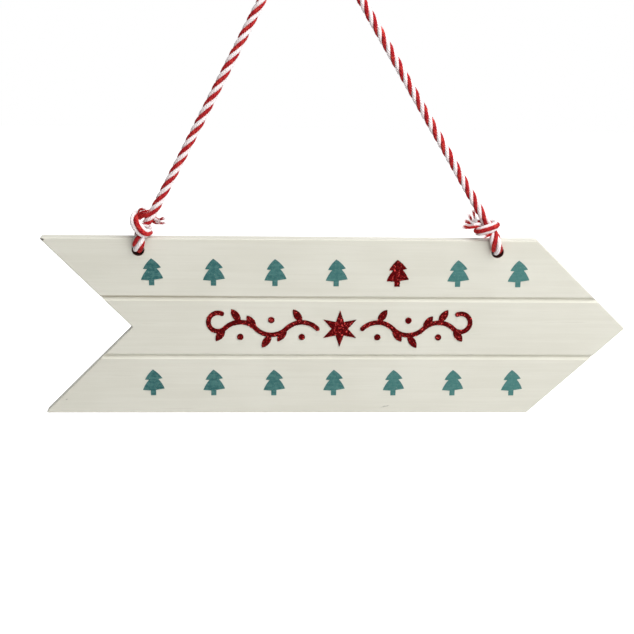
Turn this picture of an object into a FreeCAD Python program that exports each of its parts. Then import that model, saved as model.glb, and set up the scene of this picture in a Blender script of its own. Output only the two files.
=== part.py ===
import FreeCAD, Part
import math
import os

import Sketcher
from FreeCAD import Placement, Rotation, Vector

# Hanging arrow sign: a grooved and painted board on a red and white twisted cord.
# Millimetres, +Z up, +X towards the arrow's point, front face towards -Y.
# The origin is where the cord's top bend bears on its hook.
# The board and its prints are drawn about the board's centre and placed below the hook.

SIZES = {
    # board
    "board_length": 400.0,
    "board_height": 124.0,
    "board_thickness": 9.0,
    "notch_depth": 61.0,
    "point_length": 65.0,
    "arris_radius": 0.8,
    # hook to board
    "hang_drop": 202.4,
    "hang_offset": 23.7,
    # routed grooves
    "groove_spacing": 41.3,
    "groove_width": 3.8,
    "groove_depth": 1.9,
    # cord holes
    "hole_diameter": 8.2,
    "hole_below_top": 8.0,
    "left_hole_inset": 65.6,
    "right_hole_inset": 92.1,
    "hole_rim_radius": 0.6,
    # fir tree stencils
    "paint_thickness": 0.2,
    "glitter_thickness": 0.35,
    "tree_first_x": -125.6,
    "tree_pitch": 41.45,
    "tree_columns": 7,
    "glitter_column": 5,
    "upper_row_z": 29.6,
    "lower_row_z": -48.9,
    "tree_height": 18.7,
    "tip_shift": -0.2,
    "tier_shift": 0.3,
    "tier_slope": 1.1,
    "upper_tier_width": 12.0,
    "upper_tier_z": 11.9,
    "neck_width": 6.5,
    "neck_z": 11.5,
    "lower_tier_width": 14.9,
    "lower_tier_z": 4.4,
    "trunk_width": 3.6,
    "trunk_top_z": 3.7,
    "tree_side_radius": 22.0,
    # glitter ornament
    "ornament_x": 2.0,
    "ornament_z": -0.5,
    "star_radius": 13.0,
    "star_waist": 5.6,
    "stem_width": 3.2,
    "stem_start": 15.5,
    "stem_wave": 21.0,
    "stem_rise": 4.5,
    "curl_radius": 6.5,
    "curl_turn": 250.0,
    "leaf_length": 11.0,
    "leaf_width": 5.0,
    "leaf_lean": 56.0,
    "berry_diameter": 4.4,
    "berry_drop": 6.0,
    # cord
    "cord_diameter": 5.4,
    "loop_diameter": 6.6,
    "hook_diameter": 10.0,
    "hole_bend_radius": 4.3,
    "shoulder_radius": 5.0,
    "left_knot_length": 16.0,
    "left_knot_width": 14.6,
    "right_knot_length": 14.0,
    "right_knot_width": 16.4,
    "knot_end_width": 9.0,
    "tail_flare": 7.6,
}

# The cord's route, chosen by hand: knot to knot over the hook, then through each hole and back.
HANGING_ROUTE = [(-104.3, 0.0, -192.9), (-0.64, 0.0, 10.7), (124.9, 0.0, -193.6)]
LEFT_LOOP_ROUTE = [
    (-109.6, -3.0, -194.6),
    (-110.7, -8.05, -199.4),
    (-110.7, -8.05, -209.85),
    (-110.7, 8.05, -209.85),
    (-110.7, 8.05, -199.4),
    (-109.6, 0.5, -194.6),
]
RIGHT_LOOP_ROUTE = [
    (128.4, -3.0, -194.9),
    (131.6, -8.05, -199.4),
    (131.6, -8.05, -209.85),
    (131.6, 8.05, -209.85),
    (131.6, 8.05, -199.4),
    (128.4, 0.5, -194.9),
]
LEFT_KNOT_CENTRE = (-106.9, -1.5, -192.6)
RIGHT_KNOT_CENTRE = (124.3, -1.5, -193.5)
LEFT_TAIL_ROUTE = [(-106.9, -4.0, -193.0), (-93.4, -5.5, -190.6)]
RIGHT_TAIL_ROUTE = [(124.3, -4.0, -193.2), (107.6, -5.5, -189.9)]

ORNAMENT_WAVES = 3

doc = FreeCAD.newDocument("hanging_arrow_sign")


def make_sheet():
    """The spreadsheet of driving dimensions, one aliased cell each."""
    cells = doc.addObject("Spreadsheet::Sheet", "sizes")
    for row, (alias, number) in enumerate(SIZES.items(), 1):
        cells.set(f"A{row}", alias)
        cells.set(f"B{row}", str(number))
        cells.setAlias(f"B{row}", alias)
    doc.recompute()
    return cells


sheet = make_sheet()


def value(expression):
    """The number that an expression of the sheet's cells gives."""
    return float(sheet.evalExpression(expression))


def bind(obj, **expressions):
    """Ties properties to the sheet; a double underscore in a name stands for a dot."""
    for name, expression in expressions.items():
        obj.setExpression(name.replace("__", "."), expression)


def place_on_board(obj):
    """Moves a sub-part drawn about the board's centre to where the board hangs."""
    bind(
        obj,
        Placement__Base__x="sizes.hang_offset",
        Placement__Base__z="-(sizes.hang_drop + sizes.board_height / 2)",
    )


def make_body(label):
    body = doc.addObject("PartDesign::Body", label)
    body.Label = label
    return body


def body_sketch(body, name, role):
    """A sketch of a body on the origin plane with that role."""
    sketch = body.newObject("Sketcher::SketchObject", name)
    plane = next(feature for feature in body.Origin.OriginFeatures if feature.Role == role)
    sketch.AttachmentSupport = [(plane, "")]
    sketch.MapMode = "FlatFace"
    return sketch


def side_end(sketch, side, point):
    """Which end of a sketch side lies at a point: 1 for its start, 2 for its end."""
    start = sketch.Geometry[side].StartPoint
    return 1 if start.distanceToPoint(point) < 1e-6 else 2


def bulged_side(start, end, radius):
    """An arc from start to end that stands out to the right of the way it runs."""
    chord = end - start
    outward = Vector(chord.y, -chord.x, 0).normalize()
    rise = radius - math.sqrt(radius**2 - (chord.Length / 2) ** 2)
    return Part.Arc(start, (start + end) * 0.5 + outward * rise, end)


def draw_outline(sketch, corners, arc_radius="", arcs=()):
    """Draws a closed outline, anticlockwise, with each corner (a pair of expressions) tied to the sheet.

    The sides whose numbers are in arcs bulge outwards with arc_radius."""
    points = [Vector(value(x), value(y), 0) for x, y in corners]
    sides = []
    for number, start in enumerate(points):
        end = points[(number + 1) % len(points)]
        side = bulged_side(start, end, value(arc_radius)) if number in arcs else Part.LineSegment(start, end)
        sides.append(sketch.addGeometry(side, False))
    for number, point in enumerate(points):
        side, before = sides[number], sides[number - 1]
        end, end_before = side_end(sketch, side, point), side_end(sketch, before, point)
        sketch.addConstraint(Sketcher.Constraint("Coincident", before, end_before, side, end))
        for direction, expression in zip("XY", corners[number]):
            tie_sketch(sketch, "Distance" + direction, (-1, 1, side, end), expression)
    for number in arcs:
        tie_sketch(sketch, "Radius", (sides[number],), arc_radius)


def tie_sketch(sketch, kind, geometry, expression):
    """Adds one dimension to a sketch and ties it to the sheet."""
    number = sketch.addConstraint(Sketcher.Constraint(kind, *geometry, value(expression)))
    name = f"size_{number}"
    sketch.renameConstraint(number, name)
    sketch.setExpression("Constraints." + name, expression)


def draw_circle(sketch, centre, diameter):
    """Draws a circle whose centre (a pair of expressions) and diameter are tied to the sheet."""
    middle = Vector(value(centre[0]), value(centre[1]), 0)
    ring = sketch.addGeometry(Part.Circle(middle, Vector(0, 0, 1), value(diameter) / 2), False)
    tie_sketch(sketch, "Diameter", (ring,), diameter)
    for direction, expression in zip("XY", centre):
        tie_sketch(sketch, "Distance" + direction, (-1, 1, ring, 3), expression)


def edges_where(feature, wanted):
    """The names of a feature's edges that pass a test."""
    return [f"Edge{number}" for number, edge in enumerate(feature.Shape.Edges, 1) if wanted(edge)]


def cut_through(body, sketch, name):
    """Cuts a sketch through the whole body, both ways, and makes sure that it removed material."""
    before = body.Shape.Volume
    pocket = body.newObject("PartDesign::Pocket", name)
    pocket.Profile = sketch
    pocket.SideType = "Symmetric"
    pocket.Type = "ThroughAll"
    doc.recompute()
    if not pocket.Shape.Volume < before:
        raise RuntimeError(f"{name} cut nothing")
    return pocket


def round_edges(body, feature, name, edges, radius):
    fillet = body.newObject("PartDesign::Fillet", name)
    fillet.Base = (feature, edges)
    bind(fillet, Radius=radius)
    doc.recompute()
    return fillet


def make_board():
    """One board, sawn to an arrow, eased all round, then grooved and drilled."""
    body = make_body("board")
    left, right = "-sizes.board_length / 2", "sizes.board_length / 2"
    top, bottom = "sizes.board_height / 2", "-sizes.board_height / 2"
    shoulder = right + " - sizes.point_length"
    outline = body_sketch(body, "board_outline", "XZ_Plane")
    draw_outline(
        outline,
        [
            (left, bottom),
            (shoulder, bottom),
            (right, "0"),
            (shoulder, top),
            (left, top),
            (left + " + sizes.notch_depth", "0"),
        ],
    )
    pad = body.newObject("PartDesign::Pad", "board_blank")
    pad.Profile = outline
    pad.SideType = "Symmetric"
    bind(pad, Length="sizes.board_thickness")
    doc.recompute()

    notch_x = value(left + " + sizes.notch_depth")

    def is_arris(edge):
        on_notch_corner = all(abs(v.X - notch_x) < 1e-6 for v in edge.Vertexes)
        return not on_notch_corner

    round_edges(body, pad, "board_arrises", edges_where(pad, is_arris), "sizes.arris_radius")
    cut_grooves(body)
    cut_holes(body)
    place_on_board(body)
    return body


def cut_grooves(body):
    """Two V-grooves routed along the front, end to end."""
    face = "-sizes.board_thickness / 2"
    for name, middle in (("upper", "sizes.groove_spacing / 2"), ("lower", "-sizes.groove_spacing / 2")):
        profile = body_sketch(body, name + "_groove_profile", "YZ_Plane")
        draw_outline(
            profile,
            [
                (face, middle + " - sizes.groove_width / 2"),
                (face + " + sizes.groove_depth", middle),
                (face, middle + " + sizes.groove_width / 2"),
            ],
        )
        cut_through(body, profile, name + "_groove")


def cut_holes(body):
    """The two cord holes near the top edge, with their rims rounded."""
    height = "sizes.board_height / 2 - sizes.hole_below_top"
    circles = body_sketch(body, "hole_circles", "XZ_Plane")
    draw_circle(circles, ("sizes.left_hole_inset - sizes.board_length / 2", height), "sizes.hole_diameter")
    draw_circle(circles, ("sizes.board_length / 2 - sizes.right_hole_inset", height), "sizes.hole_diameter")
    holes = cut_through(body, circles, "cord_holes")
    rims = edges_where(holes, lambda edge: edge.isClosed())
    round_edges(body, holes, "hole_rims", rims, "sizes.hole_rim_radius")


def draw_tree(sketch):
    """A two-tier fir tree above its trunk's foot; each tier's hem climbs a little to the right."""
    shift, slope = "sizes.tier_shift", "sizes.tier_slope / 2"
    trunk = "sizes.trunk_width / 2"
    lower, neck, upper = (f"sizes.{name}_width / 2" for name in ("lower_tier", "neck", "upper_tier"))
    draw_outline(
        sketch,
        [
            (f"-{trunk}", "0"),
            (trunk, "0"),
            (trunk, "sizes.trunk_top_z + 0.2 * sizes.tier_slope"),
            (f"{shift} + {lower}", f"sizes.lower_tier_z + {slope}"),
            (f"{shift} + {neck}", "sizes.neck_z + 0.25 * sizes.tier_slope"),
            (f"{shift} + {upper}", f"sizes.upper_tier_z + {slope}"),
            ("sizes.tip_shift", "sizes.tree_height"),
            (f"{shift} - {upper}", f"sizes.upper_tier_z - {slope}"),
            (f"{shift} - {neck}", "sizes.neck_z - 0.25 * sizes.tier_slope"),
            (f"{shift} - {lower}", f"sizes.lower_tier_z - {slope}"),
            (f"-{trunk}", "sizes.trunk_top_z - 0.2 * sizes.tier_slope"),
        ],
        "sizes.tree_side_radius",
        (3, 5, 6, 8),
    )


def pad_tree(body, name, column, row, thickness):
    """One tree's film on the board's front face, at a column (from 1) and a row's height."""
    sketch = body_sketch(body, name + "_outline", "XZ_Plane")
    draw_tree(sketch)
    bind(
        sketch,
        AttachmentOffset__Base__x=f"sizes.tree_first_x + ({column} - 1) * sizes.tree_pitch",
        AttachmentOffset__Base__y=row,
        AttachmentOffset__Base__z="sizes.board_thickness / 2",
    )
    pad = body.newObject("PartDesign::Pad", name)
    pad.Profile = sketch
    bind(pad, Length=thickness)
    doc.recompute()
    return pad


def repeat_tree(body, pad, count):
    """Repeats a tree to the right, one to a column."""
    row = body.newObject("PartDesign::LinearPattern", pad.Name + "_row")
    row.Originals = [pad]
    row.Direction = (pad.Profile[0], ["H_Axis"])
    row.Mode = "Spacing"
    bind(row, Offset="sizes.tree_pitch", Occurrences=count)
    body.Tip = row
    doc.recompute()


def make_trees():
    """The teal trees: a full lower row, and an upper row that leaves the glitter tree's column free."""
    body = make_body("tree_stencils")
    body.AllowCompound = True
    paint = "sizes.paint_thickness"
    rows = [
        ("lower_trees", "1", "sizes.lower_row_z", "sizes.tree_columns"),
        ("upper_left_trees", "1", "sizes.upper_row_z", "sizes.glitter_column - 1"),
        (
            "upper_right_trees",
            "(sizes.glitter_column + 1)",
            "sizes.upper_row_z",
            "sizes.tree_columns - sizes.glitter_column",
        ),
    ]
    for name, column, row, count in rows:
        repeat_tree(body, pad_tree(body, name, column, row, paint), count)
    place_on_board(body)
    return body


def make_glitter_tree():
    body = make_body("glitter_tree")
    pad_tree(body, "red_tree", "sizes.glitter_column", "sizes.upper_row_z", "sizes.glitter_thickness")
    place_on_board(body)
    return body


def face_sketch(name):
    """A sketch that lies on the board's front face, about the board's centre."""
    sketch = doc.addObject("Sketcher::SketchObject", name)
    sketch.Placement = Placement(Vector(), Rotation(Vector(1, 0, 0), 90))
    bind(sketch, Placement__Base__y="-sizes.board_thickness / 2")
    return sketch


def glitter_film(outline, name, x="0", z="0", heading=0.0):
    """A glitter film on an outline, turned anticlockwise by heading and moved to a place on the ornament."""
    film = doc.addObject("Part::Extrusion", name)
    film.Base = outline
    film.DirMode = "Custom"
    film.Dir = Vector(0, -1, 0)
    film.Solid = True
    film.Placement = Placement(Vector(), Rotation(Vector(0, -1, 0), heading))
    bind(
        film,
        LengthFwd="sizes.glitter_thickness",
        Placement__Base__x="sizes.ornament_x + " + x,
        Placement__Base__z="sizes.ornament_z + " + z,
    )
    return film


def make_star():
    """The six-pointed star in the middle of the ornament."""
    sketch = face_sketch("star_outline")
    corners = []
    for number in range(12):
        reach = "sizes.star_radius" if number % 2 else "sizes.star_waist"
        corners.append((f"{reach} * cos({30 * number} deg)", f"{reach} * sin({30 * number} deg)"))
    draw_outline(sketch, corners)
    return glitter_film(sketch, "star")


def make_stem():
    """The ornament's wavy stem with a curl at its end, as one brush stroke of even width."""
    wave, rise = value("sizes.stem_wave"), value("sizes.stem_rise")
    face = value("-sizes.board_thickness / 2")
    strokes = []
    for number in range(ORNAMENT_WAVES):
        start = Vector(value("sizes.stem_start") + number * wave, face, 0)
        crest = start + Vector(wave / 2, 0, rise * (-1) ** number)
        strokes.append(Part.Arc(start, crest, start + Vector(wave, 0, 0)))
    strokes.append(stem_curl(strokes[-1]))
    path = doc.addObject("Part::Feature", "stem_path")
    path.Shape = Part.Wire([stroke.toShape() for stroke in strokes])
    stroke = doc.addObject("Part::Offset2D", "stem_stroke")
    stroke.Source = path
    stroke.Mode = "Pipe"
    stroke.Fill = True
    bind(stroke, Value="sizes.stem_width / 2")
    return glitter_film(stroke, "stem")


def stem_curl(last_wave):
    """The arc that leaves the last wave along its tangent and curls up and back."""
    start = last_wave.EndPoint
    along = last_wave.tangent(last_wave.LastParameter)[0]
    radius, turn = value("sizes.curl_radius"), value("sizes.curl_turn")
    centre = start + Vector(-along.z, 0, along.x) * radius

    def spoke(angle):
        return centre + Rotation(Vector(0, -1, 0), angle).multVec(start - centre)

    return Part.Arc(start, spoke(turn / 2), spoke(turn))


def make_leaves():
    """Pointed leaves that carry on from each bend of the stem and stand out from each crest."""
    sketch = face_sketch("leaf_outline")
    radius = "(sizes.leaf_length ^ 2 + sizes.leaf_width ^ 2) / (4 * sizes.leaf_width)"
    draw_outline(sketch, [("0", "0"), ("sizes.leaf_length", "0")], radius, (0, 1))
    leaves = []
    for number in range(ORNAMENT_WAVES):
        side = (-1) ** number
        lean = side * value("sizes.leaf_lean")
        bend = f"sizes.stem_start + {number + 1} * sizes.stem_wave"
        crest = f"sizes.stem_start + {number + 0.5} * sizes.stem_wave"
        height = f"{side} * sizes.stem_rise"
        leaves.append(glitter_film(sketch, f"bend_leaf_{number + 1}", bend, "0", -lean))
        leaves.append(glitter_film(sketch, f"crest_leaf_{number + 1}", crest, height, lean))
    return leaves


def make_berries():
    """A round berry in the hollow of each wave."""
    sketch = face_sketch("berry_outline")
    draw_circle(sketch, ("0", "0"), "sizes.berry_diameter")
    berries = []
    for number in range(ORNAMENT_WAVES):
        crest = f"sizes.stem_start + {number + 0.5} * sizes.stem_wave"
        hollow = f"{-((-1) ** number)} * sizes.berry_drop"
        berries.append(glitter_film(sketch, f"berry_{number + 1}", crest, hollow))
    return berries


def make_ornament():
    """The glitter ornament: a star between two mirrored sprays of stem, leaves and berries."""
    spray = doc.addObject("Part::MultiFuse", "right_spray")
    spray.Shapes = [make_stem()] + make_leaves() + make_berries()
    mirrored = doc.addObject("Part::Mirroring", "left_spray")
    mirrored.Source = spray
    mirrored.Normal = Vector(1, 0, 0)
    bind(mirrored, Base__x="sizes.ornament_x")
    ornament = doc.addObject("Part::MultiFuse", "glitter_ornament")
    ornament.Label = "glitter_ornament"
    ornament.Shapes = [make_star(), spray, mirrored]
    place_on_board(ornament)
    return ornament


def rounded_path(points, radii):
    """Straight runs through points with a tangent arc of its own radius at each inner point."""
    points = [Vector(*point) for point in points]
    edges = []
    start = points[0]
    for before, corner, after, radius in zip(points, points[1:], points[2:], radii):
        back = (before - corner).normalize()
        onward = (after - corner).normalize()
        half_angle = back.getAngle(onward) / 2
        reach = radius / math.tan(half_angle)
        middle = (back + onward).normalize()
        crown = corner + middle * (radius / math.sin(half_angle) - radius)
        edges.append(Part.LineSegment(start, corner + back * reach))
        edges.append(Part.Arc(corner + back * reach, crown, corner + onward * reach))
        start = corner + onward * reach
    edges.append(Part.LineSegment(start, points[-1]))
    return Part.Wire([edge.toShape() for edge in edges])


def make_tube(name, points, radii, diameter):
    """A round cord along a rounded path, as a sweep whose volume is compared with its length."""
    print(name, "bend radii", [round(radius, 2) for radius in radii])
    path = doc.addObject("Part::Feature", name + "_path")
    path.Shape = rounded_path(points, radii)
    first, second = Vector(*points[0]), Vector(*points[1])
    section = doc.addObject("Part::Circle", name + "_section")
    section.Placement = Placement(first, Rotation(Vector(0, 0, 1), second - first))
    bind(section, Radius=diameter + " / 2")
    tube = doc.addObject("Part::Sweep", name + "_tube")
    tube.Sections = [section]
    tube.Spine = (path, [f"Edge{number}" for number in range(1, len(path.Shape.Edges) + 1)])
    tube.Solid = True
    doc.recompute()
    expected = math.pi * value(diameter + " / 2") ** 2 * path.Shape.Length
    if abs(tube.Shape.Volume - expected) > 0.002 * expected:
        raise RuntimeError(f"{name}: volume {tube.Shape.Volume:.1f}, expected {expected:.1f}")
    print(name, "path length", round(path.Shape.Length, 1))
    return tube


def cut_by(label, base, tool):
    """What is left of a cord outside a knot, so that the two meet face to face."""
    cut = doc.addObject("Part::Cut", label)
    cut.Label = label
    cut.Base = base
    cut.Tool = tool
    return cut


def make_knot(label, centre, axis, length, width):
    """A tied knot's outer form: a barrel about the cord that runs up from it."""
    body = make_body(label)
    half, bulge, end = length + " / 2", width + " / 2", "sizes.knot_end_width / 2"
    sketch = body_sketch(body, label + "_profile", "XZ_Plane")
    rise = f"({bulge} - {end})"
    radius = f"(({half}) ^ 2 + {rise} ^ 2) / (2 * {rise})"
    draw_outline(
        sketch,
        [("0", f"-{half}"), (end, f"-{half}"), (end, half), ("0", half)],
        radius,
        (1,),
    )
    barrel = body.newObject("PartDesign::Revolution", label + "_barrel")
    barrel.Profile = sketch
    barrel.ReferenceAxis = (sketch, ["V_Axis"])
    barrel.Angle = 360
    body.Placement = Placement(Vector(*centre), Rotation(Vector(0, 0, 1), axis))
    doc.recompute()
    return body


def make_tail(label, route, knot):
    """A frayed end: it leaves its knot as cord and opens towards its tip."""
    start, tip = Vector(*route[0]), Vector(*route[1])
    cone = doc.addObject("Part::Cone", label + "_brush")
    cone.Height = start.distanceToPoint(tip)
    cone.Placement = Placement(start, Rotation(Vector(0, 0, 1), tip - start))
    bind(cone, Radius1="sizes.cord_diameter / 2", Radius2="sizes.tail_flare / 2")
    return cut_by(label, cone, knot)


def make_cords():
    """The cord in its stretches: knots, tails, the loops through the holes and the run over the hook."""
    left_end, top, right_end = (Vector(*point) for point in HANGING_ROUTE)
    left_knot = make_knot(
        "left_knot", LEFT_KNOT_CENTRE, top - left_end, "sizes.left_knot_length", "sizes.left_knot_width"
    )
    right_knot = make_knot(
        "right_knot", RIGHT_KNOT_CENTRE, top - right_end, "sizes.right_knot_length", "sizes.right_knot_width"
    )
    hook_bend = value("(sizes.hook_diameter + sizes.cord_diameter) / 2")
    shoulder, bend = value("sizes.shoulder_radius"), value("sizes.hole_bend_radius")
    loop_bends = [shoulder, bend, bend, shoulder]
    hanging = make_tube("hanging_cord", HANGING_ROUTE, [hook_bend], "sizes.cord_diameter")
    left_loop = make_tube("left_hole_loop", LEFT_LOOP_ROUTE, loop_bends, "sizes.loop_diameter")
    right_loop = make_tube("right_hole_loop", RIGHT_LOOP_ROUTE, loop_bends, "sizes.loop_diameter")
    return [
        left_knot,
        right_knot,
        cut_by("hanging_cord", cut_by("hanging_cord_left", hanging, left_knot), right_knot),
        cut_by("left_hole_loop", left_loop, left_knot),
        cut_by("right_hole_loop", right_loop, right_knot),
        make_tail("left_tail", LEFT_TAIL_ROUTE, left_knot),
        make_tail("right_tail", RIGHT_TAIL_ROUTE, right_knot),
    ]


def check_and_write(parts):
    """Writes one file for each sub-part, once every object of the document is sound."""
    doc.recompute()
    for obj in doc.Objects:
        if "Invalid" in obj.State or "Error" in obj.State:
            raise RuntimeError(f"{obj.Name} failed: {obj.State}")
    for part in parts:
        if part.Shape.isNull() or not part.Shape.isValid():
            raise RuntimeError(f"{part.Label} has no sound shape")
    os.makedirs("parts", exist_ok=True)
    for part in parts:
        part.Shape.exportStep(f"parts/{part.Label}.step")
        print(part.Label, len(part.Shape.Solids), "solids,", round(part.Shape.Volume, 1), "mm3")


check_and_write([make_board(), make_trees(), make_glitter_tree(), make_ornament(), *make_cords()])
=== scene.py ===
import math
import bpy
from mathutils import Matrix, Vector


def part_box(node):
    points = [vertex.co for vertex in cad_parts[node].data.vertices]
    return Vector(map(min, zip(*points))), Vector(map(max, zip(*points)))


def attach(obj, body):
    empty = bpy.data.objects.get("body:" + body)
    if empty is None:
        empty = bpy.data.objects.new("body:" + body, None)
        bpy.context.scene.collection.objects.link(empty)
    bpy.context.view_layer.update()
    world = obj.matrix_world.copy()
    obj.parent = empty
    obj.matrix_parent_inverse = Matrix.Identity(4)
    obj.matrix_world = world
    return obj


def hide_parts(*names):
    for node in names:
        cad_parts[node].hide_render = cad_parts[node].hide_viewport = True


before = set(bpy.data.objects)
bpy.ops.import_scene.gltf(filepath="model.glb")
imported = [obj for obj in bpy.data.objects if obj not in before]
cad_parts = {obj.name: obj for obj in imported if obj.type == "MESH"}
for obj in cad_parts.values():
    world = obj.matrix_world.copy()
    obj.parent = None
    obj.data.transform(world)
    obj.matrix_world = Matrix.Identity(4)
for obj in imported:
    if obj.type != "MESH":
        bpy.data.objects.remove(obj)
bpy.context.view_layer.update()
MM = 0.001


# The board: one piece of softwood sawn to an arrow, with two V-grooves routed across its front.
# It is brushed all over with cream paint, thin enough for the grain to show as fine level lines.
# It is chipped at one corner and flecked near its lower edge. Painted shade darkens the upper groove's
# lip, most near the tail, and the drilled walls of the holes are bare wood painted near black as shade.

CREAM_LIGHT = (0.715, 0.702, 0.618, 1.0)
CREAM_SHADE = (0.675, 0.660, 0.574, 1.0)
GRAIN_LINE = (0.46, 0.43, 0.35, 1.0)
# Bare wood shows on rubbed edges; the same colour is painted shade on the upper groove's lip.
BARE_WOOD_AND_LIP_SHADE = (0.33, 0.25, 0.16, 1.0)
CHIP_DIRT = (0.10, 0.085, 0.07, 1.0)
# The holes' drilled walls: bare wood, painted near black as shade.
DRILLED_WOOD_IN_SHADE = (0.085, 0.022, 0.016, 1.0)
NOTCH_DEPTH = 61 * MM
POINT_LENGTH = 65 * MM
EDGE_RUB_WIDTH = 0.9 * MM
EDGE_RUB_FULL = 0.1 * MM
EDGE_RUB_DEPTHS = (1.3 * MM, 0.5 * MM)
HOLES = {"left": -110.7 * MM, "right": 131.6 * MM}
HOLE_DROP = 8 * MM
HOLE_RADIUS = 4.1 * MM
HOLE_WALL_REACH = (0.5 * MM, 0.15 * MM)
HOLE_WALL_DEPTHS = (0.1 * MM, 0.7 * MM)
UPPER_GROOVE_RISE = 20.65 * MM
LIP_FOOT = (0.3 * MM, 0.5 * MM)
LIP_TOP = (1.75 * MM, 1.45 * MM)
LIP_DEPTHS = (2.4 * MM, 2.0 * MM)
LIP_FADE_END = 83 * MM
LIP_SHADE_SHARES = (0.62, 0.1)
# Each mark's place and its reach each way in millimetres, its slope in degrees, and how much of the
# paint is gone there.
PAINT_MARKS = {
    "corner chip": ((-174.2, -4.5, -203.6), (1.9, 1.9, 1.0), 0.0, 1.0),
    "lower fleck": ((-161.4, -4.5, -316.4), (1.1, 1.0, 0.55), -8.0, 0.45),
    "edge dash": ((58.5, -4.5, -321.6), (3.2, 1.0, 0.5), -11.0, 0.4),
}


def plug(tree, socket, value):
    """Link another node's socket to an input, or set the input to a plain value."""
    if isinstance(value, bpy.types.NodeSocket):
        tree.links.new(value, socket)
    else:
        socket.default_value = value


def add(tree, kind, inputs=None, **settings):
    """Add one node to a tree, with its settings and then its inputs."""
    node = tree.nodes.new(kind)
    for name, value in settings.items():
        setattr(node, name, value)
    for name, value in (inputs or {}).items():
        plug(tree, node.inputs[name], value)
    return node


def new_finish(name, **constants):
    """A material with one Principled shader and its constants: the material, its tree and the shader."""
    finish = bpy.data.materials.new(name)
    finish.use_nodes = True
    shader = finish.node_tree.nodes["Principled BSDF"]
    for label, value in constants.items():
        shader.inputs[label.replace("_", " ")].default_value = value
    return finish, finish.node_tree, shader


def streaks(tree, coords, per_metre, detail=3.0):
    """Noise whose grains are as long each way as the counts per metre say."""
    stretched = add(tree, "ShaderNodeMapping", {"Vector": coords, "Scale": per_metre})
    noise = {"Vector": stretched.outputs["Vector"], "Scale": 1.0, "Detail": detail, "Roughness": 0.6}
    return add(tree, "ShaderNodeTexNoise", noise).outputs["Fac"]


def between(tree, value, low, high, out_low=0.0, out_high=1.0):
    """Spread a value's range from low to high over another range, and hold it there."""
    ends = {"Value": value, "From Min": low, "From Max": high, "To Min": out_low, "To Max": out_high}
    return add(tree, "ShaderNodeMapRange", ends, interpolation_type="SMOOTHSTEP").outputs["Result"]


def maths(tree, operation, first, second=0.0):
    """One sum, difference, product or other step on two values."""
    return add(tree, "ShaderNodeMath", {0: first, 1: second}, operation=operation).outputs["Value"]


def tint(tree, share, first, second):
    """A blend of two colours, given as colours or as sockets."""
    node = add(tree, "ShaderNodeMix", data_type="RGBA")
    for label, value in (("Factor_Float", share), ("A_Color", first), ("B_Color", second)):
        plug(tree, next(s for s in node.inputs if s.identifier == label), value)
    return next(s for s in node.outputs if s.identifier == "Result_Color")


def raise_surface(tree, shader, height, depth, strength):
    """Drive the shader's normal from a height field of the given depth."""
    inputs = {"Height": height, "Distance": depth, "Strength": strength}
    tree.links.new(add(tree, "ShaderNodeBump", inputs).outputs["Normal"], shader.inputs["Normal"])


def edge_distance(tree, coords, low, high):
    """How far a point of the front lies inside the arrow's outline."""
    axes = add(tree, "ShaderNodeSeparateXYZ", {"Vector": coords})
    half = (high.z - low.z) / 2
    off_centre = maths(tree, "ABSOLUTE", maths(tree, "SUBTRACT", axes.outputs["Z"], low.z + half))
    from_side = maths(tree, "SUBTRACT", half, off_centre)
    notch = maths(tree, "MULTIPLY", from_side, NOTCH_DEPTH / half)
    from_tail = maths(tree, "SUBTRACT", maths(tree, "SUBTRACT", axes.outputs["X"], low.x), notch)
    point = maths(tree, "MULTIPLY", off_centre, POINT_LENGTH / half)
    from_point = maths(tree, "SUBTRACT", maths(tree, "SUBTRACT", high.x, axes.outputs["X"]), point)
    ends = maths(tree, "MINIMUM", from_tail, from_point)
    return maths(tree, "MINIMUM", from_side, maths(tree, "MULTIPLY", ends, 0.7))


def paint_mark(tree, coords, ragged, centre, reach, slope, share):
    """A small ragged spot or dash round one place on the face."""
    place = {
        "Vector": coords,
        "Location": Vector(centre) * MM,
        "Rotation": (0.0, math.radians(slope), 0.0),
        "Scale": Vector(reach) * MM,
    }
    placed = add(tree, "ShaderNodeMapping", place, vector_type="TEXTURE").outputs["Vector"]
    away = add(tree, "ShaderNodeVectorMath", {0: placed}, operation="LENGTH").outputs["Value"]
    uneven = maths(tree, "MULTIPLY", away, between(tree, ragged, 0.3, 0.7, 0.6, 1.6))
    return between(tree, uneven, 1.0, 0.5, 0.0, share)


def hole_wall(tree, coords, across, high):
    """The wall of one drilled hole, inside its eased rims, where bare wood is painted near black as shade.
    """
    axes = add(tree, "ShaderNodeSeparateXYZ", {"Vector": coords})
    out_x = maths(tree, "SUBTRACT", axes.outputs["X"], across)
    out_z = maths(tree, "SUBTRACT", axes.outputs["Z"], high.z - HOLE_DROP)
    reach = {"X": out_x, "Y": out_z, "Z": 0.0}
    reach = add(tree, "ShaderNodeCombineXYZ", reach).outputs["Vector"]
    reach = add(tree, "ShaderNodeVectorMath", {0: reach}, operation="LENGTH").outputs["Value"]
    inside = between(tree, reach, *(HOLE_RADIUS + out for out in HOLE_WALL_REACH))
    off_middle = maths(tree, "ABSOLUTE", axes.outputs["Y"])
    deep = between(tree, off_middle, *(high.y - depth for depth in HOLE_WALL_DEPTHS))
    return maths(tree, "MULTIPLY", inside, deep)


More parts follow.
